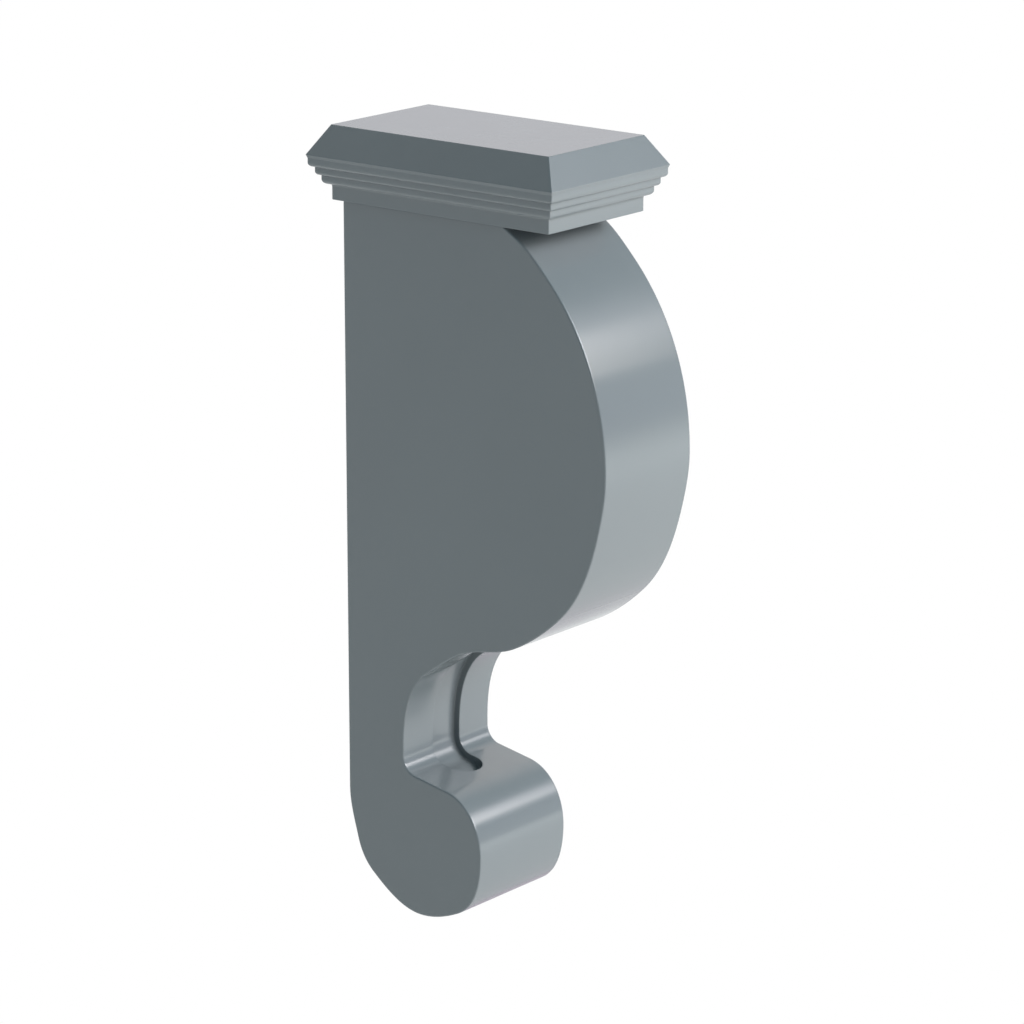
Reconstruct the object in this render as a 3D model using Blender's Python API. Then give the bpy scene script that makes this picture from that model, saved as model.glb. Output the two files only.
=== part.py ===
# Shaker corbel: a plain scrolled bracket with a moulded cap.
#
# Metres, +Z up. The flat back of the body lies on the wall plane Y = 0 and the
# corbel reaches out from it along -Y. X = 0 is the middle of its width. The
# origin is the middle of the flat back, where the corbel is fixed to the wall.

import math

import bmesh
import bpy
from mathutils import Vector
from mathutils.geometry import interpolate_bezier


# Body sizes. Depths are out from the wall, heights are above the scroll's foot.
BODY_WIDTH = 0.1025
BODY_HEIGHT = 0.5524
TOP_DEPTH = 0.154          # how far out the body stands where it meets the cap
BELLY_DEPTH = 0.250
BELLY_HEIGHT = 0.378
NECK_DEPTH = 0.0555
NECK_HEIGHT = 0.1315
CREASE_RADIUS = 0.014      # hollow where the neck turns into the scroll's top
CREASE_SHARE = 0.9         # the most of the neck's upright stretch that the hollow takes
SCROLL_TOP_DEPTH = 0.098   # the scroll's top is straight as far as here
SCROLL_TOP_HEIGHT = 0.1065
SCROLL_DEPTH = 0.132
SCROLL_HEIGHT = 0.0595
FOOT_DEPTH = 0.0725        # the lowest point of the scroll
WALL_FOOT_HEIGHT = 0.0895  # the back is flat down to here, then curls under
EDGE_EASE = 0.0010         # small rounding along the body's edges

# Headings of the outline, in degrees, as it runs from the cap down the front.
TOP_HEADING = -31
SCROLL_TOP_HEADING = -10

# Points that shape the free curves between the sizes above. Each is a share of
# the run in depth, a share of the run in height, and the heading there.
SHOULDER_CURVE = ((0.23, 0.08, -40), (0.45, 0.20, -47))
BELLY_CURVE = (
    (0.025, 0.145, -103),
    (0.215, 0.46, -136),
    (0.445, 0.59, -154),
    (0.70, 0.645, -157),
    (0.87, 0.73, -146),
)
HEEL_CURVE = ((0.385, 0.835, -154),)
TAIL_CURVE = ((0.675, 0.27, -220), (0.885, 0.545, -255))

# Groove let into the neck. Lengths follow the surface.
GROOVE_WIDTH = 0.0315
GROOVE_DEPTH = 0.0056
GROOVE_LENGTH = 0.180
GROOVE_PAST_CREASE = 0.030  # from the crease to the groove's lower tip
GROOVE_CORNER = 0.001       # hollow between the groove's floor and its walls
CUTTER_RISE = 0.002         # how far the groove's cutter stands out of the surface

# Cap sizes. Widths and reaches are those of the plain fillet at its foot.
CAP_WIDTH = 0.1122
CAP_BACK = 0.0065            # how far the fillet stands back past the wall plane
CAP_REACH = 0.2008           # how far the fillet stands out from the wall plane
FILLET_HEIGHT = 0.0098
COVE_HEIGHT = 0.0021
COVE_OUT = 0.0011
BEAD_HEIGHTS = (0.0070, 0.0063, 0.0067)
BEAD_STEPS = (0.0045, 0.0034, 0.0038)
BEAD_LEDGE = 0.0006          # flat underside of each bead, before its round
RETURN_HEIGHT = 0.0026
RETURN_OUT = 0.0010
BEVEL_HEIGHT = 0.0224
BEVEL_IN = 0.0137
JOINT_GAP = 0.0003           # the hair line between the body and the cap

# Fineness of the curves.
CURVE_STEP = math.radians(4)
ROUND_STEPS = 4
TIP_STEPS = 10
JOIN_DISTANCE = 0.00001

PAINT_COLOUR = (0.149, 0.170, 0.178, 1.0)
PAINT_ROUGHNESS = 0.34

ORIGIN_HEIGHT = (BODY_HEIGHT + WALL_FOOT_HEIGHT) / 2


def clear_scene():
    for old in list(bpy.data.objects):
        bpy.data.objects.remove(old, do_unlink=True)


def paint(name):
    material = bpy.data.materials.new(name)
    material.use_nodes = True
    shader = material.node_tree.nodes["Principled BSDF"]
    shader.inputs["Base Color"].default_value = PAINT_COLOUR
    shader.inputs["Roughness"].default_value = PAINT_ROUGHNESS
    shader.inputs["Metallic"].default_value = 0.0
    material.diffuse_color = PAINT_COLOUR
    return material


def new_object(name, bm, material=None):
    mesh = bpy.data.meshes.new(name)
    bmesh.ops.recalc_face_normals(bm, faces=bm.faces)
    bm.to_mesh(mesh)
    bm.free()
    if material:
        mesh.materials.append(material)
    obj = bpy.data.objects.new(name, mesh)
    bpy.context.collection.objects.link(obj)
    return obj


# The outline is kept in the side plane as (depth, height) vectors, and each
# anchor is such a point with the heading of the curve there.

def anchor(depth, height, heading):
    return Vector((depth, height)), math.radians(heading)


def anchors_between(start, end, shares):
    run = end[0] - start[0]
    return [
        anchor(start[0].x + run.x * out, start[0].y + run.y * up, heading)
        for out, up, heading in shares
    ]


def direction(heading):
    return Vector((math.cos(heading), math.sin(heading)))


def round_run(start, end):
    # The roundest curve from one anchor to the next, without its last point.
    chord = end[0] - start[0]
    setting_off, arriving = direction(start[1]), direction(end[1])
    handle = chord.length / (3 * math.cos((end[1] - start[1]) / 4) ** 2)
    bend = chord.angle(setting_off) + chord.angle(arriving)
    points = interpolate_bezier(
        start[0],
        start[0] + setting_off * handle,
        end[0] - arriving * handle,
        end[0],
        max(2, math.ceil(bend / CURVE_STEP)) + 1,
    )
    return [point.xy for point in points[:-1]]


def crease_anchors():
    # The hollow turns from straight down the neck to the slope of the scroll's top.
    # Where the neck's upright stretch is short, the hollow takes only its share of it.
    heading = math.radians(SCROLL_TOP_HEADING)
    drop = (SCROLL_TOP_DEPTH - NECK_DEPTH) * math.tan(heading)
    corner = Vector((NECK_DEPTH, SCROLL_TOP_HEIGHT - drop))
    turn = math.radians(90) + heading
    reach = min(CREASE_RADIUS * math.tan(turn / 2), CREASE_SHARE * (NECK_HEIGHT - corner.y))
    start, end = corner + Vector((0, reach)), corner + direction(heading) * reach
    return (start, math.radians(-90)), (end, heading)


def front_anchors():
    top = anchor(TOP_DEPTH, BODY_HEIGHT, TOP_HEADING)
    belly = anchor(BELLY_DEPTH, BELLY_HEIGHT, -90)
    neck = anchor(NECK_DEPTH, NECK_HEIGHT, -90)
    scroll_top = anchor(SCROLL_TOP_DEPTH, SCROLL_TOP_HEIGHT, SCROLL_TOP_HEADING)
    scroll = anchor(SCROLL_DEPTH, SCROLL_HEIGHT, -90)
    foot = anchor(FOOT_DEPTH, 0, -180)
    wall_foot = anchor(0, WALL_FOOT_HEIGHT, -270)
    return [
        top,
        *anchors_between(top, belly, SHOULDER_CURVE),
        belly,
        *anchors_between(belly, neck, BELLY_CURVE),
        neck,
        *crease_anchors(),
        scroll_top,
        scroll,
        *anchors_between(scroll, foot, HEEL_CURVE),
        foot,
        *anchors_between(foot, wall_foot, TAIL_CURVE),
        wall_foot,
    ]


def front_outline():
    anchors = front_anchors()
    points = []
    for start, end in zip(anchors, anchors[1:]):
        points.extend(round_run(start, end))
    points.append(anchors[-1][0])
    return points


def in_space(x, point):
    return Vector((x, -point.x, point.y - ORIGIN_HEIGHT))


def make_body(outline, material):
    side = outline + [Vector((0, BODY_HEIGHT))]
    bm = bmesh.new()
    near = bm.faces.new([bm.verts.new(in_space(-BODY_WIDTH / 2, point)) for point in side])
    block = bmesh.ops.extrude_face_region(bm, geom=[near])
    far = [item for item in block["geom"] if isinstance(item, bmesh.types.BMVert)]
    bmesh.ops.translate(bm, verts=far, vec=(BODY_WIDTH, 0, 0))
    body = new_object("body", bm, material)
    ease = body.modifiers.new("eased edges", "BEVEL")
    ease.width = EDGE_EASE
    ease.segments = 2
    ease.limit_method = "ANGLE"
    ease.angle_limit = math.radians(40)
    return body


class Surface:
    # The front outline measured along its length.
    def __init__(self, outline):
        self.points = outline
        self.marks = [0.0]
        for before, after in zip(outline, outline[1:]):
            self.marks.append(self.marks[-1] + (after - before).length)
        spans = [after - before for before, after in zip(outline, outline[1:])]
        joined = [a.normalized() + b.normalized() for a, b in zip(spans, spans[1:])]
        self.headings = [spans[0], *joined, spans[-1]]

    def at(self, mark, sink):
        # The point at this mark, sunk this far under the surface.
        index = max(i for i, m in enumerate(self.marks[:-1]) if m <= mark)
        share = (mark - self.marks[index]) / (self.marks[index + 1] - self.marks[index])
        point = self.points[index].lerp(self.points[index + 1], share)
        before = self.headings[index].normalized()
        heading = before.lerp(self.headings[index + 1].normalized(), share).normalized()
        inward = Vector((heading.y, -heading.x))
        return point + inward * sink

    def mark_of(self, point):
        return min(zip(self.points, self.marks), key=lambda item: (item[0] - point).length)[1]


def groove_levels():
    # (inset from the groove's edge, depth under the surface), mouth to floor.
    corner = min(GROOVE_CORNER, GROOVE_DEPTH / 2, GROOVE_WIDTH / 4)
    levels = [(0, -CUTTER_RISE)]
    for step in range(ROUND_STEPS + 1):
        angle = math.radians(90) * step / ROUND_STEPS
        inset = corner * (1 - math.cos(angle))
        levels.append((inset, GROOVE_DEPTH - corner + corner * math.sin(angle)))
    return levels


def groove_stations(surface, upper, lower, half):
    # (mark, half width) pairs from tip to tip: a half round, the straight, a half round.
    tip_angles = [math.radians(90) * step / TIP_STEPS for step in range(TIP_STEPS + 1)]
    stations = [(upper - half * math.cos(a), half * math.sin(a)) for a in tip_angles]
    stations += [(mark, half) for mark in surface.marks if upper < mark < lower]
    stations += [(lower + half * math.sin(a), half * math.cos(a)) for a in tip_angles]
    return stations


def make_groove_cutter(outline):
    surface = Surface(outline)
    crease_start, crease_end = crease_anchors()
    crease = (surface.mark_of(crease_start[0]) + surface.mark_of(crease_end[0])) / 2
    half = GROOVE_WIDTH / 2
    lower = crease + GROOVE_PAST_CREASE - half
    upper = crease + GROOVE_PAST_CREASE - GROOVE_LENGTH + half

    bm = bmesh.new()
    rows = []
    for inset, sink in groove_levels():
        stations = groove_stations(surface, upper, lower, half - inset)
        rows.append([
            [bm.verts.new(in_space(side * reach, surface.at(mark, sink))) for side in (-1, 1)]
            for mark, reach in stations
        ])
    for row, next_row in zip(rows, rows[1:]):
        for i in range(len(row) - 1):
            for side in (0, 1):
                bm.faces.new((row[i][side], row[i + 1][side], next_row[i + 1][side], next_row[i][side]))
    for row in (rows[0], rows[-1]):
        for i in range(len(row) - 1):
            bm.faces.new((row[i][0], row[i + 1][0], row[i + 1][1], row[i][1]))
    bmesh.ops.remove_doubles(bm, verts=bm.verts, dist=JOIN_DISTANCE)
    cutter = new_object("groove_cutter", bm)
    cutter.hide_render = True
    cutter.display_type = "WIRE"
    return cutter


def cut(target, cutter):
    boolean = target.modifiers.new(cutter.name, "BOOLEAN")
    boolean.operation = "DIFFERENCE"
    boolean.solver = "EXACT"
    boolean.object = cutter
    # Points of the cut that fall on the target's own become one with them.
    weld = target.modifiers.new("joined points", "WELD")
    weld.merge_threshold = JOIN_DISTANCE


def cap_profile():
    # (overhang past the fillet, height above the cap's foot), from foot to top.
    profile = [(0, 0), (0, FILLET_HEIGHT)]
    out, height = COVE_OUT, FILLET_HEIGHT + COVE_HEIGHT
    for step in range(1, ROUND_STEPS):
        angle = math.radians(90) * step / ROUND_STEPS
        profile.append((COVE_OUT * (1 - math.cos(angle)), FILLET_HEIGHT + COVE_HEIGHT * math.sin(angle)))
    for bead_height, bead_step in zip(BEAD_HEIGHTS, BEAD_STEPS):
        # A flat ledge, then a quarter round that ends upright.
        profile.append((out, height))
        radius = bead_step - BEAD_LEDGE
        centre = (out + BEAD_LEDGE, height + radius)
        for step in range(ROUND_STEPS + 1):
            angle = math.radians(90) * step / ROUND_STEPS
            profile.append((centre[0] + radius * math.sin(angle), centre[1] - radius * math.cos(angle)))
        out, height = out + bead_step, height + bead_height
        profile.append((out, height))
    out, height = out + RETURN_OUT, height + RETURN_HEIGHT
    profile.append((out, height))
    profile.append((out - BEVEL_IN, height + BEVEL_HEIGHT))
    return profile


def make_cap(material):
    foot = BODY_HEIGHT - ORIGIN_HEIGHT + JOINT_GAP
    bm = bmesh.new()
    rings = []
    for out, height in cap_profile():
        x = CAP_WIDTH / 2 + out
        front, back = -CAP_REACH - out, CAP_BACK + out
        corners = ((-x, front), (x, front), (x, back), (-x, back))
        rings.append([bm.verts.new((*corner, foot + height)) for corner in corners])
    for ring, above in zip(rings, rings[1:]):
        for i in range(4):
            bm.faces.new((ring[i], ring[i - 3], above[i - 3], above[i]))
    bm.faces.new(rings[0])
    bm.faces.new(rings[-1])
    bmesh.ops.remove_doubles(bm, verts=bm.verts, dist=JOIN_DISTANCE)
    return new_object("cap", bm, material)


clear_scene()
outline = front_outline()
body = make_body(outline, paint("body_paint"))
cut(body, make_groove_cutter(outline))
make_cap(paint("cap_paint"))
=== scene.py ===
import bisect
import math

import bmesh
import bpy
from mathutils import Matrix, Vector
from mathutils.geometry import interpolate_bezier


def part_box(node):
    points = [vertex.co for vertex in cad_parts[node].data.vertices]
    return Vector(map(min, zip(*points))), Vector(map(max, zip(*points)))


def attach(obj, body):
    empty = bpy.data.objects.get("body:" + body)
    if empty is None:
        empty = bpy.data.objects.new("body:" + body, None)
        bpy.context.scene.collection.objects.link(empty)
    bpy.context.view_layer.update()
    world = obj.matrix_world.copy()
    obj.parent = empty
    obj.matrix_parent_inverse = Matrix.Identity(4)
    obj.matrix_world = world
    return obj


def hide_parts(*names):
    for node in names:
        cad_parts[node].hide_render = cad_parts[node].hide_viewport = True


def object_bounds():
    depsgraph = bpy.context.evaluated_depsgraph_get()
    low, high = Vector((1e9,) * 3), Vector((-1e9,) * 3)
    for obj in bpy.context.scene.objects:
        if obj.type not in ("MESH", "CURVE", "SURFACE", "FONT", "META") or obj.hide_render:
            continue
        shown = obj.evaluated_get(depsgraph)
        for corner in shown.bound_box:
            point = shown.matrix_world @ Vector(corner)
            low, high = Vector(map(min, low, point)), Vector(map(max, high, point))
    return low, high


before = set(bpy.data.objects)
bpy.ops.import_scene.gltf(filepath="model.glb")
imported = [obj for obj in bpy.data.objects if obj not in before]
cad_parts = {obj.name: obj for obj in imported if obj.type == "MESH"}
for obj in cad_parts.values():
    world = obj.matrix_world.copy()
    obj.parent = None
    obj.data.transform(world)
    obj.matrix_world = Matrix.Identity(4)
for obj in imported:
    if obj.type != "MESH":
        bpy.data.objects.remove(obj)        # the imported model: nodes body and cap, in metres
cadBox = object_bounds()
print("frame loaded:", sorted(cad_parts))


# Azimuths are in degrees and go round from straight in front towards the right.
def towards(azimuth, elevation):
    turn, lift = math.radians(azimuth), math.radians(elevation)
    return Vector((
        math.sin(turn) * math.cos(lift),
        -math.cos(turn) * math.cos(lift),
        math.sin(lift),
    ))


# Camera: stands to the left of the corbel and a little above it
cameraValues = {
    "azimuth": -50.85,
    "elevation": 15.50,
    "distance": 3.114,
    "target": (0.0101, -0.1131, -0.0039),
    "lens": 144.61,
    "sensor": 36.0,
}


def makeCamera(v):
    back = towards(v["azimuth"], v["elevation"])
    data = bpy.data.cameras.new("camera")
    data.lens = v["lens"]
    data.sensor_width = v["sensor"]
    camera = bpy.data.objects.new("camera", data)
    camera.location = Vector(v["target"]) + back * v["distance"]
    camera.rotation_euler = (-back).to_track_quat("-Z", "Y").to_euler()
    bpy.context.scene.collection.objects.link(camera)
    bpy.context.scene.camera = camera


makeCamera(cameraValues)
print("camera placed")


# Shared helpers for meshes
weldDistance = 1e-6
holdingGap = 0.0004      # keeps flat faces flat beside a rounded edge
roundShare = 0.8         # most of the room beside a corner that its round takes
holdingShare = 0.95      # and that its holding point takes


def meshObject(name, bm, material):
    bmesh.ops.remove_doubles(bm, verts=bm.verts, dist=weldDistance)
    bmesh.ops.recalc_face_normals(bm, faces=bm.faces)
    mesh = bpy.data.meshes.new(name)
    bm.to_mesh(mesh)
    bm.free()
    mesh.shade_smooth()
    mesh.materials.append(material)
    obj = bpy.data.objects.new(name, mesh)
    bpy.context.scene.collection.objects.link(obj)
    return obj


def quarterTurn(steps):
    # angles from 0 to 90 degrees
    return [math.radians(90) * step / steps for step in range(steps + 1)]


def evenRun(start, end, spacing):
    # points from start up to end, without the end itself
    count = max(1, round((end - start).length / spacing))
    return [start.lerp(end, i / count) for i in range(count)]


def bridgeRows(bm, rows, closed=False):
    # quads between each row of vertices and the next
    for row, after in zip(rows, rows[1:]):
        pairs = list(zip(row, row[1:] + row[:1] if closed else row[1:]))
        others = list(zip(after, after[1:] + after[:1] if closed else after[1:]))
        for (a, b), (c, d) in zip(pairs, others):
            bm.faces.new((a, b, d, c))


# Body: the side outline runs from the cap down the front and up the flat back.
# Depths are out from the wall, heights above the scroll's foot. Each curve point is a
# share of the run in depth, a share of the run in height, and the heading in degrees.
bodyValues = {
    "topDepth": 0.154,
    "bellyHeight": 0.378,
    "neckDepth": 0.0555,
    "neckHeight": 0.1315,
    "creaseRadius": 0.014,   # hollow where the neck meets the scroll's top
    "scrollTopDepth": 0.098,
    "scrollTopHeight": 0.1065,
    "scrollDepth": 0.132,
    "scrollHeight": 0.0595,
    "footDepth": 0.0725,
    "wallFootHeight": 0.0895,
    "topHeading": -31,
    "scrollTopHeading": -10,
    "shoulderCurve": ((0.23, 0.08, -40), (0.45, 0.20, -47)),
    "bellyCurve": (
        (0.025, 0.145, -103),
        (0.215, 0.46, -136),
        (0.445, 0.59, -154),
        (0.70, 0.645, -157),
        (0.87, 0.73, -146),
    ),
    "heelCurve": ((0.385, 0.835, -154),),
    "tailCurve": ((0.675, 0.27, -220), (0.885, 0.545, -255)),
    "edgeRound": 0.0012,
    "edgeSteps": 4,
    "backCorner": 0.0020,    # under the cap
    "curveStep": 1.5,        # degrees of bend between points of the outline
    "straightStep": 0.012,
    "landColumns": 5,
}
grooveValues = {
    "width": 0.0315,
    "depth": 0.0056,
    "length": 0.180,
    "tipDepth": 0.0870,      # how far out from the wall its lower tip is
    "floorRound": 0.001,
    "mouthRound": 0.0007,
    "tipSteps": 10,
    "tipMargin": 0.02,       # share of a tip's reach kept clear of extra cross sections
    "roundSteps": 5,
    "floorColumns": 3,
}


def anchor(depth, height, heading):
    return Vector((depth, height)), math.radians(heading)


def anchorsBetween(start, end, shares):
    run = end[0] - start[0]
    return [
        anchor(start[0].x + run.x * out, start[0].y + run.y * up, heading)
        for out, up, heading in shares
    ]


def direction(heading):
    return Vector((math.cos(heading), math.sin(heading)))


def roundRun(start, end, step):
    # a curve from one anchor to the next, without its last point
    (first, firstHeading), (last, lastHeading) = start, end
    chord = last - first
    settingOff, arriving = direction(firstHeading), direction(lastHeading)
    handle = chord.length / (3 * math.cos((lastHeading - firstHeading) / 4) ** 2)
    bend = chord.angle(settingOff) + chord.angle(arriving)
    count = max(2, math.ceil(bend / step)) + 1
    points = interpolate_bezier(first, first + settingOff * handle, last - arriving * handle, last, count)
    return [point.xy for point in points[:-1]]


def creaseAnchors(v):
    heading = math.radians(v["scrollTopHeading"])
    drop = (v["scrollTopDepth"] - v["neckDepth"]) * math.tan(heading)
    corner = Vector((v["neckDepth"], v["scrollTopHeight"] - drop))
    reach = v["creaseRadius"] * math.tan((math.radians(90) + heading) / 2)
    start = corner + Vector((0, reach))
    end = corner + direction(heading) * reach
    return (start, math.radians(-90)), (end, heading)


def frontAnchors(v, bellyDepth, height):
    top = anchor(v["topDepth"], height, v["topHeading"])
    belly = anchor(bellyDepth, v["bellyHeight"], -90)
    neck = anchor(v["neckDepth"], v["neckHeight"], -90)
    scrollTop = anchor(v["scrollTopDepth"], v["scrollTopHeight"], v["scrollTopHeading"])
    scroll = anchor(v["scrollDepth"], v["scrollHeight"], -90)
    foot = anchor(v["footDepth"], 0, -180)
    wallFoot = anchor(0, v["wallFootHeight"], -270)
    return [
        top,
        *anchorsBetween(top, belly, v["shoulderCurve"]),
        belly,
        *anchorsBetween(belly, neck, v["bellyCurve"]),
        neck,
        *creaseAnchors(v),
        scrollTop,
        scroll,
        *anchorsBetween(scroll, foot, v["heelCurve"]),
        foot,
        *anchorsBetween(foot, wallFoot, v["tailCurve"]),
        wallFoot,
    ]


def sideLoop(v, bellyDepth, height):
    anchors = frontAnchors(v, bellyDepth, height)
    points = []
    for start, end in zip(anchors, anchors[1:]):
        points.extend(roundRun(start, end, math.radians(v["curveStep"])))
    radius = v["backCorner"]
    backTop = Vector((0, height - radius))
    points.extend(evenRun(anchors[-1][0], backTop, v["straightStep"]))
    centre = Vector((radius, height - radius))
    for a in quarterTurn(v["edgeSteps"])[:-1]:
        points.append(centre + radius * Vector((-math.cos(a), math.sin(a))))
    points.extend(evenRun(Vector((radius, height)), anchors[0][0], v["straightStep"]))
    return points


class MeasuredLoop:
    # a closed side outline, measured along its length
    def __init__(self, points):
        ring = points + points[:1]
        spans = [after - before for before, after in zip(ring, ring[1:])]
        self.points = ring
        self.marks = [0.0]
        for span in spans:
            self.marks.append(self.marks[-1] + span.length)
        joined = [a.normalized() + b.normalized() for a, b in zip(spans[-1:] + spans, spans + spans[:1])]
        self.headings = [span.normalized() for span in joined]

    def at(self, mark, sink):
        # the point at this mark, sunk this far under the surface
        index = min(bisect.bisect_right(self.marks, mark), len(self.marks) - 1) - 1
        share = (mark - self.marks[index]) / (self.marks[index + 1] - self.marks[index])
        heading = self.headings[index].lerp(self.headings[index + 1], share).normalized()
        inward = Vector((heading.y, -heading.x))
        return self.points[index].lerp(self.points[index + 1], share) + inward * sink

    def markOf(self, point):
        return min(zip(self.points, self.marks), key=lambda item: (item[0] - point).length)[1]


def grooveEnds(v, g, loop):
    # marks of the middles of the groove's two round ends
    creaseEnd, heading = creaseAnchors(v)[1]
    tip = loop.markOf(creaseEnd) + (g["tipDepth"] - creaseEnd.x) / math.cos(heading)
    lower = tip - g["width"] / 2
    return lower - g["length"] + g["width"], lower


def grooveSection(g):
    # (spread from the groove's side, sink) from the land round the mouth to the floor
    half, mouth, corner = g["width"] / 2, g["mouthRound"], g["floorRound"]
    section = [(half + mouth + holdingGap, 0)]
    for a in quarterTurn(g["roundSteps"]):
        section.append((half + mouth * (1 - math.sin(a)), mouth * (1 - math.cos(a))))
    section.append((half, mouth + holdingGap))
    section.append((half, g["depth"] - corner - holdingGap))
    for a in quarterTurn(g["roundSteps"]):
        section.append((half - corner * (1 - math.cos(a)), g["depth"] - corner * (1 - math.sin(a))))
    section.append((half - corner - holdingGap, g["depth"]))
    return section


def grooveStations(loop, ends, g):
    # (middle, along, across) of each cross section, from the upper tip to the lower one
    upper, lower = ends
    spread = grooveSection(g)[0][0]
    turns = quarterTurn(g["tipSteps"])
    stations = [(upper, -math.cos(a), math.sin(a)) for a in turns]
    stations += [(mark, 0, 1) for mark in loop.marks if upper < mark < lower]
    stations += [(lower, math.sin(a), math.cos(a)) for a in turns]
    for mark in loop.marks:
        for middle in ends:
            along = (mark - middle) / spread
            if g["tipMargin"] < abs(along) < 1 - g["tipMargin"] and (along < 0) == (middle == upper):
                stations.append((middle, along, math.sqrt(1 - along ** 2)))
    return sorted(stations, key=lambda s: s[0] + s[1] * spread)


def landStations(loop, grooveRows, spread):
    # (mark, half width of the groove there) all round the loop
    cut = {middle + along * spread: across * spread for middle, along, across in grooveRows}
    first, last = min(cut), max(cut)
    plain = [mark for mark in loop.marks[:-1] if not first - weldDistance < mark < last + weldDistance]
    return sorted([(mark, 0) for mark in plain] + list(cut.items()))


def landSection(v, halfWidth, reach):
    # (x, sink) from the side face round the edge and across to the groove or the middle
    radius = v["edgeRound"]
    section = [(halfWidth, radius + holdingGap)]
    for a in quarterTurn(v["edgeSteps"]):
        section.append((halfWidth - radius * (1 - math.cos(a)), radius * (1 - math.sin(a))))
    start = halfWidth - radius - holdingGap
    for i in range(v["landColumns"] + 1):
        section.append((start + (reach - start) * i / v["landColumns"], 0))
    return section


def makeBody(v, g, material):
    low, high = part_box("body")
    halfWidth = (high.x - low.x) / 2
    loop = MeasuredLoop(sideLoop(v, -low.y, high.z - low.z))

    def inSpace(x, point):
        return Vector((x, -point.x, low.z + point.y))

    bm = bmesh.new()
    rows = grooveStations(loop, grooveEnds(v, g, loop), g)
    section = grooveSection(g)
    stations = landStations(loop, rows, section[0][0])
    for side in (-1, 1):
        land = [
            [
                bm.verts.new(inSpace(side * x, loop.at(mark, sink)))
                for x, sink in landSection(v, halfWidth, reach)
            ]
            for mark, reach in stations
        ]
        bridgeRows(bm, land + land[:1])
        bm.faces.new([row[0] for row in land])
    walls = {}
    for side in (-1, 1):
        walls[side] = [
            [
                bm.verts.new(inSpace(side * across * spread, loop.at(middle + along * spread, sink)))
                for spread, sink in section
            ]
            for middle, along, across in rows
        ]
        bridgeRows(bm, walls[side])
    floor = []
    for (middle, along, across), near, far in zip(rows, walls[-1], walls[1]):
        inner = [
            bm.verts.new(near[-1].co.lerp(far[-1].co, i / g["floorColumns"]))
            for i in range(1, g["floorColumns"])
        ]
        floor.append([near[-1], *inner, far[-1]])
    bridgeRows(bm, floor)
    return meshObject("scrollBody", bm, material)


# Cap: a moulding profile taken round four mitred sides. Overhangs are past the fillet.
capValues = {
    "overhang": 0.0138,      # from the plain fillet out to the widest edge
    "filletHeight": 0.0098,
    "coveHeight": 0.0021,
    "coveOut": 0.0011,
    "beadHeights": (0.0070, 0.0063, 0.0067),
    "beadSteps": (0.0045, 0.0034, 0.0038),
    "beadLedge": 0.0006,
    "returnHeight": 0.0026,
    "returnOut": 0.0010,
    "bevelIn": 0.0137,
    "edgeRound": 0.0005,
    "cornerRound": 0.0006,
    "roundSteps": 4,
    "beadRoundSteps": 8,
    "plainBend": 20,         # corners that bend less than this, in degrees, aren't rounded
    "tuck": 0.004,           # how far inside the top and underside the section starts
}


def capProfile(v, height):
    # (overhang, height) pairs from the foot to the top, as the cutters leave it
    foot = v["filletHeight"]
    profile = [Vector((0, 0)), Vector((0, foot))]
    for a in quarterTurn(v["roundSteps"])[1:-1]:
        profile.append(Vector((v["coveOut"] * (1 - math.cos(a)), foot + v["coveHeight"] * math.sin(a))))
    out, up = v["coveOut"], foot + v["coveHeight"]
    profile.append(Vector((out, up)))
    for beadHeight, beadStep in zip(v["beadHeights"], v["beadSteps"]):
        # a flat ledge, then a quarter round that ends upright
        radius = beadStep - v["beadLedge"]
        for a in quarterTurn(v["beadRoundSteps"]):
            bulge = Vector((math.sin(a), 1 - math.cos(a))) * radius
            profile.append(Vector((out + v["beadLedge"], up)) + bulge)
        out, up = out + beadStep, up + beadHeight
        profile.append(Vector((out, up)))
    out, up = out + v["returnOut"], up + v["returnHeight"]
    profile.append(Vector((out, up)))
    profile.append(Vector((out - v["bevelIn"], height)))
    return profile


def easedProfile(points, radius, steps, holdAt):
    # each corner sharper than holdAt becomes a small round with a holding point either side
    eased = [points[0]]
    for before, corner, after in zip(points, points[1:], points[2:]):
        turn = (corner - before).angle(after - corner)
        if turn < holdAt:
            eased.append(corner)
            continue
        room = min((corner - before).length, (after - corner).length) / 2
        reach = min(radius * math.tan(turn / 2), room * roundShare)
        hold = min(reach + holdingGap, room * holdingShare)
        back, on = (before - corner).normalized(), (after - corner).normalized()
        eased.append(corner + back * hold)
        start, end = corner + back * reach, corner + on * reach
        handle = reach * 4 / 3 * math.tan(turn / 4) / math.tan(turn / 2)
        curve = interpolate_bezier(start, start - back * handle, end - on * handle, end, steps + 1)
        eased.extend(point.xy for point in curve)
        eased.append(corner + on * hold)
    eased.append(points[-1])
    return eased


def mitredRing(v, halfWidth, front, back):
    # one level of the cap seen from above, with its four corners barely rounded
    radius = v["cornerRound"]
    corners = ((-halfWidth, front), (halfWidth, front), (halfWidth, back), (-halfWidth, back))
    ring = []
    for i, corner in enumerate(corners):
        sign = Vector((1 if corner[0] < 0 else -1, 1 if i < 2 else -1))
        centre = Vector(corner) + sign * radius
        turn = math.radians(180 + 90 * i)
        ring.append(centre + radius * direction(turn) - holdingGap * direction(turn + math.radians(90)))
        for a in quarterTurn(v["roundSteps"]):
            ring.append(centre + radius * direction(turn + a))
        arrive = turn + math.radians(90)
        ring.append(centre + radius * direction(arrive) + holdingGap * direction(arrive + math.radians(90)))
    return ring


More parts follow.
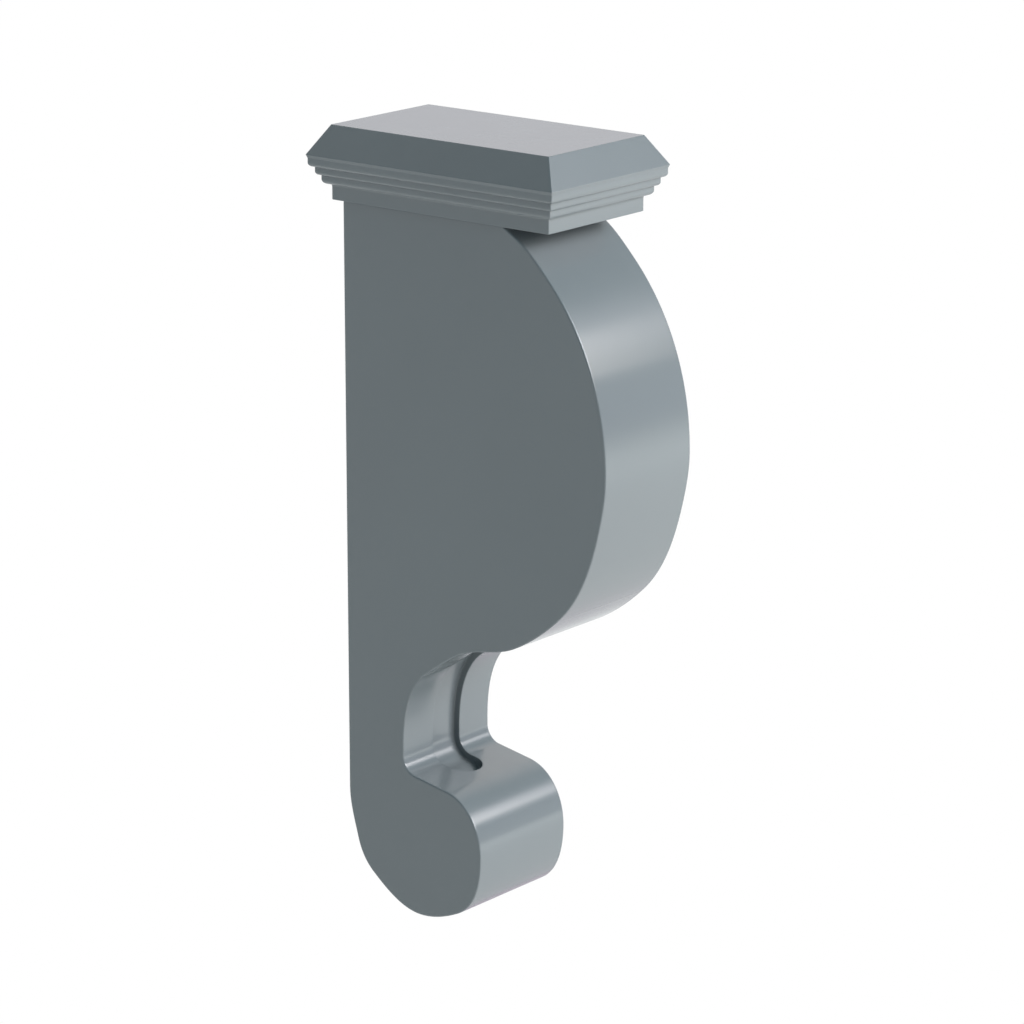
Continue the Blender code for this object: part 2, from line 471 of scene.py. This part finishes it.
def makeCap(v, material):
    low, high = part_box("cap")
    halfWidth, front, back = high.x - v["overhang"], low.y + v["overhang"], high.y - v["overhang"]
    tuck = Vector((-v["tuck"], 0))
    profile = [tuck, *capProfile(v, high.z - low.z)]
    profile.append(profile[-1] + tuck)
    profile = easedProfile(profile, v["edgeRound"], v["roundSteps"], math.radians(v["plainBend"]))
    bm = bmesh.new()
    rings = [
        [
            bm.verts.new((point.x, point.y, low.z + up))
            for point in mitredRing(v, halfWidth + out, front - out, back + out)
        ]
        for out, up in profile
    ]
    bridgeRows(bm, rings, closed=True)
    bm.faces.new(rings[0])
    bm.faces.new(rings[-1])
    return meshObject("mouldedCap", bm, material)


# Paint: smooth satin blue-grey, sprayed
def newGroup(name, inputs, outputs):
    group = bpy.data.node_groups.new(name, "ShaderNodeTree")
    for label, kind, value in inputs:
        socket = group.interface.new_socket(label, in_out="INPUT", socket_type=kind)
        if value is not None:
            socket.default_value = value
    for label, kind in outputs:
        group.interface.new_socket(label, in_out="OUTPUT", socket_type=kind)
    return group, group.nodes.new("NodeGroupInput"), group.nodes.new("NodeGroupOutput")


def mathNode(tree, operation, first, second=None):
    node = tree.nodes.new("ShaderNodeMath")
    node.operation = operation
    for socket, value in zip(node.inputs, (first, second)):
        if value is None:
            continue
        if isinstance(value, bpy.types.NodeSocket):
            tree.links.new(value, socket)
        else:
            socket.default_value = value
    return node.outputs[0]


def noiseNode(tree, vector, scale, detail, roughness=0.5):
    node = tree.nodes.new("ShaderNodeTexNoise")
    tree.links.new(vector, node.inputs["Vector"])
    if isinstance(scale, bpy.types.NodeSocket):
        tree.links.new(scale, node.inputs["Scale"])
    else:
        node.inputs["Scale"].default_value = scale
    node.inputs["Detail"].default_value = detail
    node.inputs["Roughness"].default_value = roughness
    return node.outputs["Fac"]


skinValues = {
    "grit": 0.25,            # height of the grit against the dimples
    "gritFineness": 4.3,     # times finer than the dimples
    "glossScale": 9.0,
    "dustScale": 38.0,
    "dustFlatness": 3.0,     # higher keeps the dust to faces that lie flatter
}


def makeSprayGroup(v):
    # fine orange peel of sprayed paint: soft dimples with a finer grit on them
    group, given, result = newGroup(
        "sprayedSkin",
        [("Coordinates", "NodeSocketVector", None), ("Dimple Scale", "NodeSocketFloat", 420.0),
         ("Grit", "NodeSocketFloat", v["grit"])],
        [("Height", "NodeSocketFloat"), ("Gloss Drift", "NodeSocketFloat")],
    )
    dimples = noiseNode(group, given.outputs["Coordinates"], given.outputs["Dimple Scale"], detail=1.0)
    gritScale = mathNode(group, "MULTIPLY", given.outputs["Dimple Scale"], v["gritFineness"])
    grit = noiseNode(group, given.outputs["Coordinates"], gritScale, detail=2.0)
    height = mathNode(group, "ADD", dimples, mathNode(group, "MULTIPLY", grit, given.outputs["Grit"]))
    group.links.new(height, result.inputs["Height"])
    drift = noiseNode(group, given.outputs["Coordinates"], v["glossScale"], detail=3.0)
    group.links.new(mathNode(group, "SUBTRACT", drift, 0.5), result.inputs["Gloss Drift"])
    return group


def makeToneGroup():
    # slow change of tone where the coats lie thicker or thinner
    group, given, result = newGroup(
        "coatTone",
        [("Coordinates", "NodeSocketVector", None), ("Patch Scale", "NodeSocketFloat", 6.0)],
        [("Tone", "NodeSocketFloat")],
    )
    patches = noiseNode(
        group, given.outputs["Coordinates"], given.outputs["Patch Scale"], detail=4.0, roughness=0.45
    )
    group.links.new(patches, result.inputs["Tone"])
    return group


def makeDustGroup(v):
    # a trace of dust on what faces up
    group, given, result = newGroup(
        "restingDust",
        [("Coordinates", "NodeSocketVector", None), ("Normal", "NodeSocketVector", None),
         ("Amount", "NodeSocketFloat", 0.2)],
        [("Mask", "NodeSocketFloat")],
    )
    split = group.nodes.new("ShaderNodeSeparateXYZ")
    group.links.new(given.outputs["Normal"], split.inputs[0])
    up = mathNode(group, "POWER", mathNode(group, "MAXIMUM", split.outputs["Z"], 0.0), v["dustFlatness"])
    cloud = noiseNode(group, given.outputs["Coordinates"], v["dustScale"], detail=5.0, roughness=0.6)
    mask = mathNode(group, "MULTIPLY", mathNode(group, "MULTIPLY", up, cloud), given.outputs["Amount"])
    group.links.new(mask, result.inputs["Mask"])
    return group


sprayGroup, toneGroup, dustGroup = makeSprayGroup(skinValues), makeToneGroup(), makeDustGroup(skinValues)

bodyPaintValues = {
    "light": (0.152, 0.174, 0.182, 1),
    "dark": (0.145, 0.166, 0.174, 1),
    "darkAt": 0.3,           # shares of the tone that show the two colours in full
    "lightAt": 0.7,
    "dustColour": (0.46, 0.46, 0.45, 1),
    "roughness": 0.17,
    "glossDrift": 0.03,
    "dimpleScale": 420.0,
    "dimpleDepth": 0.000004,
    "dust": 0.10,
    "patchScale": 6.0,
    "ior": 1.47,
}
capPaintValues = {
    **bodyPaintValues,
    "patchScale": 11.0,
    "dimpleScale": 520.0,
}


def satinPaint(name, v):
    material = bpy.data.materials.new(name)
    material.use_nodes = True
    tree = material.node_tree
    shader = tree.nodes["Principled BSDF"]
    place = tree.nodes.new("ShaderNodeTexCoord").outputs["Object"]
    normal = tree.nodes.new("ShaderNodeNewGeometry").outputs["Normal"]

    def groupNode(group, values, links):
        node = tree.nodes.new("ShaderNodeGroup")
        node.node_tree = group
        for label, value in values.items():
            node.inputs[label].default_value = value
        for label, source in links.items():
            tree.links.new(source, node.inputs[label])
        return node

    tone = groupNode(toneGroup, {"Patch Scale": v["patchScale"]}, {"Coordinates": place})
    spray = groupNode(sprayGroup, {"Dimple Scale": v["dimpleScale"]}, {"Coordinates": place})
    dust = groupNode(dustGroup, {"Amount": v["dust"]}, {"Coordinates": place, "Normal": normal})

    ramp = tree.nodes.new("ShaderNodeValToRGB")
    for stop, name in zip(ramp.color_ramp.elements, ("dark", "light")):
        stop.position, stop.color = v[name + "At"], v[name]
    tree.links.new(tone.outputs["Tone"], ramp.inputs["Fac"])
    dusted = tree.nodes.new("ShaderNodeMix")
    dusted.data_type = "RGBA"
    tree.links.new(dust.outputs["Mask"], dusted.inputs["Factor"])
    tree.links.new(ramp.outputs["Color"], dusted.inputs["A"])
    dusted.inputs["B"].default_value = v["dustColour"]
    tree.links.new(dusted.outputs["Result"], shader.inputs["Base Color"])

    gloss = mathNode(tree, "MULTIPLY", spray.outputs["Gloss Drift"], v["glossDrift"])
    roughness = mathNode(tree, "ADD", gloss, v["roughness"])
    tree.links.new(roughness, shader.inputs["Roughness"])
    bump = tree.nodes.new("ShaderNodeBump")
    bump.inputs["Strength"].default_value = 1.0
    bump.inputs["Distance"].default_value = v["dimpleDepth"]
    tree.links.new(spray.outputs["Height"], bump.inputs["Height"])
    tree.links.new(bump.outputs["Normal"], shader.inputs["Normal"])
    shader.inputs["IOR"].default_value = v["ior"]
    return material


body = makeBody(bodyValues, grooveValues, satinPaint("bodyPaint", bodyPaintValues))
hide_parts("body")
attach(body, "root")
print("body made:", len(body.data.polygons), "faces")

cap = makeCap(capValues, satinPaint("capPaint", capPaintValues))
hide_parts("cap")
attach(cap, "root")
print("cap made:", len(cap.data.polygons), "faces")


# Studio: a wide pale floor well below the corbel, whose glow carries a painted pool of light and a painted
# shadow, and soft panels far off round it.
studioValues = {
    "floorDrop": 0.55,       # under the scroll's foot
    "floorRadius": 12.0,
    "floorSegments": 96,
    "floorColour": (0.50, 0.46, 0.44, 1),
    "floorRoughness": 0.9,
    "floorGlow": (0.552, 0.578, 0.573),
    "backdrop": (1.0, 1.0, 1.0, 1),
    "sky": (0.0, 0.0, 0.0),
    "haze": (0.44, 0.47, 0.57),
    "hazeSpread": 0.204,     # sine of the angle above the horizon where the haze is half gone
    "hazeSoftness": 1.0,
    "zenith": (0.10, 0.30, 0.36),
    "sampleMap": 512,
}
# painted light and shade in the floor's glow: a painted pool of light out in front to the right, and a
# painted shadow behind the corbel to the right, where the floor glows less
paintedFloorSpots = {
    "paintedLightPool": {"azimuth": 33.8, "distance": 4.70, "radius": 2.59, "glow": (1.51, 1.57, 1.51)},
    "paintedRearShadow": {"azimuth": 122, "distance": 0.75, "radius": 0.50, "glow": (-0.444, -0.573, -0.452)},
}
# a panel's width and height are angles seen from the corbel
softPanels = {
    "fill": {
        "azimuth": 27.6, "elevation": 28.8, "width": 38.7, "height": 16.9,
        "softness": 0.7, "colour": (16.17, 15.83, 16.63),
    },
    "back": {
        "azimuth": 156.9, "elevation": 38.4, "width": 108, "height": 58.5,
        "softness": 0.6, "colour": (1.23, 1.08, 1.03),
    },
}
keyValues = {
    "azimuth": 16.3,
    "elevation": 24.5,
    "distance": 2.07,
    "aim": (0.0, -0.1, 0.0),
    "width": 2.68,
    "height": 0.57,
    "radiance": (4.02, 3.74, 3.51),
}


def makeKey(v):
    # a long soft box near the corbel, whose right end shows as the highlight on each bend
    away = towards(v["azimuth"], v["elevation"])
    strongest = max(v["radiance"])
    data = bpy.data.lights.new("key", "AREA")
    data.shape = "RECTANGLE"
    data.size, data.size_y = v["width"], v["height"]
    data.energy = strongest * math.pi * v["width"] * v["height"]
    data.color = [share / strongest for share in v["radiance"]]
    key = bpy.data.objects.new("key", data)
    key.location = Vector(v["aim"]) + away * v["distance"]
    key.rotation_euler = away.to_track_quat("Z", "Y").to_euler()
    bpy.context.scene.collection.objects.link(key)


def tinted(tree, mask, colour, below):
    # adds a colour times a mask to what is below it
    node = tree.nodes.new("ShaderNodeVectorMath")
    node.operation = "MULTIPLY_ADD"
    tree.links.new(mask, node.inputs[0])
    node.inputs[1].default_value = colour
    if isinstance(below, bpy.types.NodeSocket):
        tree.links.new(below, node.inputs[2])
    else:
        node.inputs[2].default_value = below
    return node.outputs[0]


def paintedSpotMask(tree, place, paintedSpot):
    # 1 at a painted spot of light or shade on the floor's glow, fading away round it
    offset = tree.nodes.new("ShaderNodeVectorMath")
    offset.operation = "DISTANCE"
    tree.links.new(place, offset.inputs[0])
    offset.inputs[1].default_value = towards(paintedSpot["azimuth"], 0) * paintedSpot["distance"]
    share = mathNode(tree, "DIVIDE", offset.outputs["Value"], paintedSpot["radius"])
    return mathNode(tree, "EXPONENT", mathNode(tree, "MULTIPLY", mathNode(tree, "POWER", share, 2.0), -1.0))


def whiteToCamera(tree, shade, backdrop, output):
    # the camera sees plain white where everything else sees the shade
    plain = tree.nodes.new("ShaderNodeEmission")
    plain.inputs["Color"].default_value = backdrop
    mix = tree.nodes.new("ShaderNodeMixShader")
    tree.links.new(tree.nodes.new("ShaderNodeLightPath").outputs["Is Camera Ray"], mix.inputs["Fac"])
    tree.links.new(shade, mix.inputs[1])
    tree.links.new(plain.outputs[0], mix.inputs[2])
    tree.links.new(mix.outputs[0], output.inputs["Surface"])


def makeFloor(v, paintedSpots):
    bm = bmesh.new()
    bmesh.ops.create_circle(bm, cap_ends=True, radius=v["floorRadius"], segments=v["floorSegments"])
    material = bpy.data.materials.new("floorMatt")
    material.use_nodes = True
    tree = material.node_tree
    shader = tree.nodes["Principled BSDF"]
    shader.inputs["Base Color"].default_value = v["floorColour"]
    shader.inputs["Roughness"].default_value = v["floorRoughness"]
    place = tree.nodes.new("ShaderNodeTexCoord").outputs["Object"]
    glow = v["floorGlow"]
    # the painted pool of light and the painted shadow are added into the floor's glow
    for paintedSpot in paintedSpots.values():
        glow = tinted(tree, paintedSpotMask(tree, place, paintedSpot), paintedSpot["glow"], glow)
    tree.links.new(glow, shader.inputs["Emission Color"])
    shader.inputs["Emission Strength"].default_value = 1.0
    whiteToCamera(tree, shader.outputs[0], v["backdrop"], tree.nodes["Material Output"])
    floor = meshObject("floor", bm, material)
    floor.location.z = cadBox[0].z - v["floorDrop"]


def softStep(tree, value, middle, softness):
    # 1 inside the middle value, 0 well outside it
    node = tree.nodes.new("ShaderNodeMapRange")
    node.interpolation_type = "SMOOTHSTEP"
    tree.links.new(value, node.inputs["Value"])
    node.inputs["From Min"].default_value = middle * (1 - softness)
    node.inputs["From Max"].default_value = middle * (1 + softness)
    node.inputs["To Min"].default_value = 1
    node.inputs["To Max"].default_value = 0
    return node.outputs["Result"]


leastAhead = 0.01        # a panel shows only in the half of the sky that it is in


def panelMask(tree, ray, panel):
    # a rectangle of light seen in one direction, soft at its edges
    facing = towards(panel["azimuth"], panel["elevation"])
    across = facing.cross(Vector((0, 0, 1))).normalized()

    def along(axis):
        node = tree.nodes.new("ShaderNodeVectorMath")
        node.operation = "DOT_PRODUCT"
        tree.links.new(ray, node.inputs[0])
        node.inputs[1].default_value = axis
        return node.outputs["Value"]

    ahead = mathNode(tree, "MAXIMUM", along(facing), leastAhead)
    mask = mathNode(tree, "GREATER_THAN", ahead, leastAhead)
    for axis, size in ((across, panel["width"]), (across.cross(facing), panel["height"])):
        offset = mathNode(tree, "ABSOLUTE", mathNode(tree, "DIVIDE", along(axis), ahead))
        edge = softStep(tree, offset, math.tan(math.radians(size) / 2), panel["softness"])
        mask = mathNode(tree, "MULTIPLY", mask, edge)
    return mask


def makeSky(v, panels):
    world = bpy.data.worlds.new("studioSky")
    world.use_nodes = True
    world.cycles.sampling_method = "MANUAL"
    world.cycles.sample_map_resolution = v["sampleMap"]
    bpy.context.scene.world = world
    tree = world.node_tree
    ray = tree.nodes.new("ShaderNodeTexCoord").outputs["Generated"]
    split = tree.nodes.new("ShaderNodeSeparateXYZ")
    tree.links.new(ray, split.inputs[0])
    height = split.outputs["Z"]
    band = softStep(tree, mathNode(tree, "ABSOLUTE", height), v["hazeSpread"], v["hazeSoftness"])
    light = tinted(tree, band, v["haze"], v["sky"])
    light = tinted(tree, mathNode(tree, "MAXIMUM", height, 0.0), v["zenith"], light)
    for panel in panels.values():
        light = tinted(tree, panelMask(tree, ray, panel), panel["colour"], light)
    background = tree.nodes["Background"]
    tree.links.new(light, background.inputs["Color"])
    whiteToCamera(tree, background.outputs[0], v["backdrop"], tree.nodes["World Output"])


makeFloor(studioValues, paintedFloorSpots)
makeSky(studioValues, softPanels)
makeKey(keyValues)
bpy.context.scene.view_settings.view_transform = "Standard"
print("studio set")
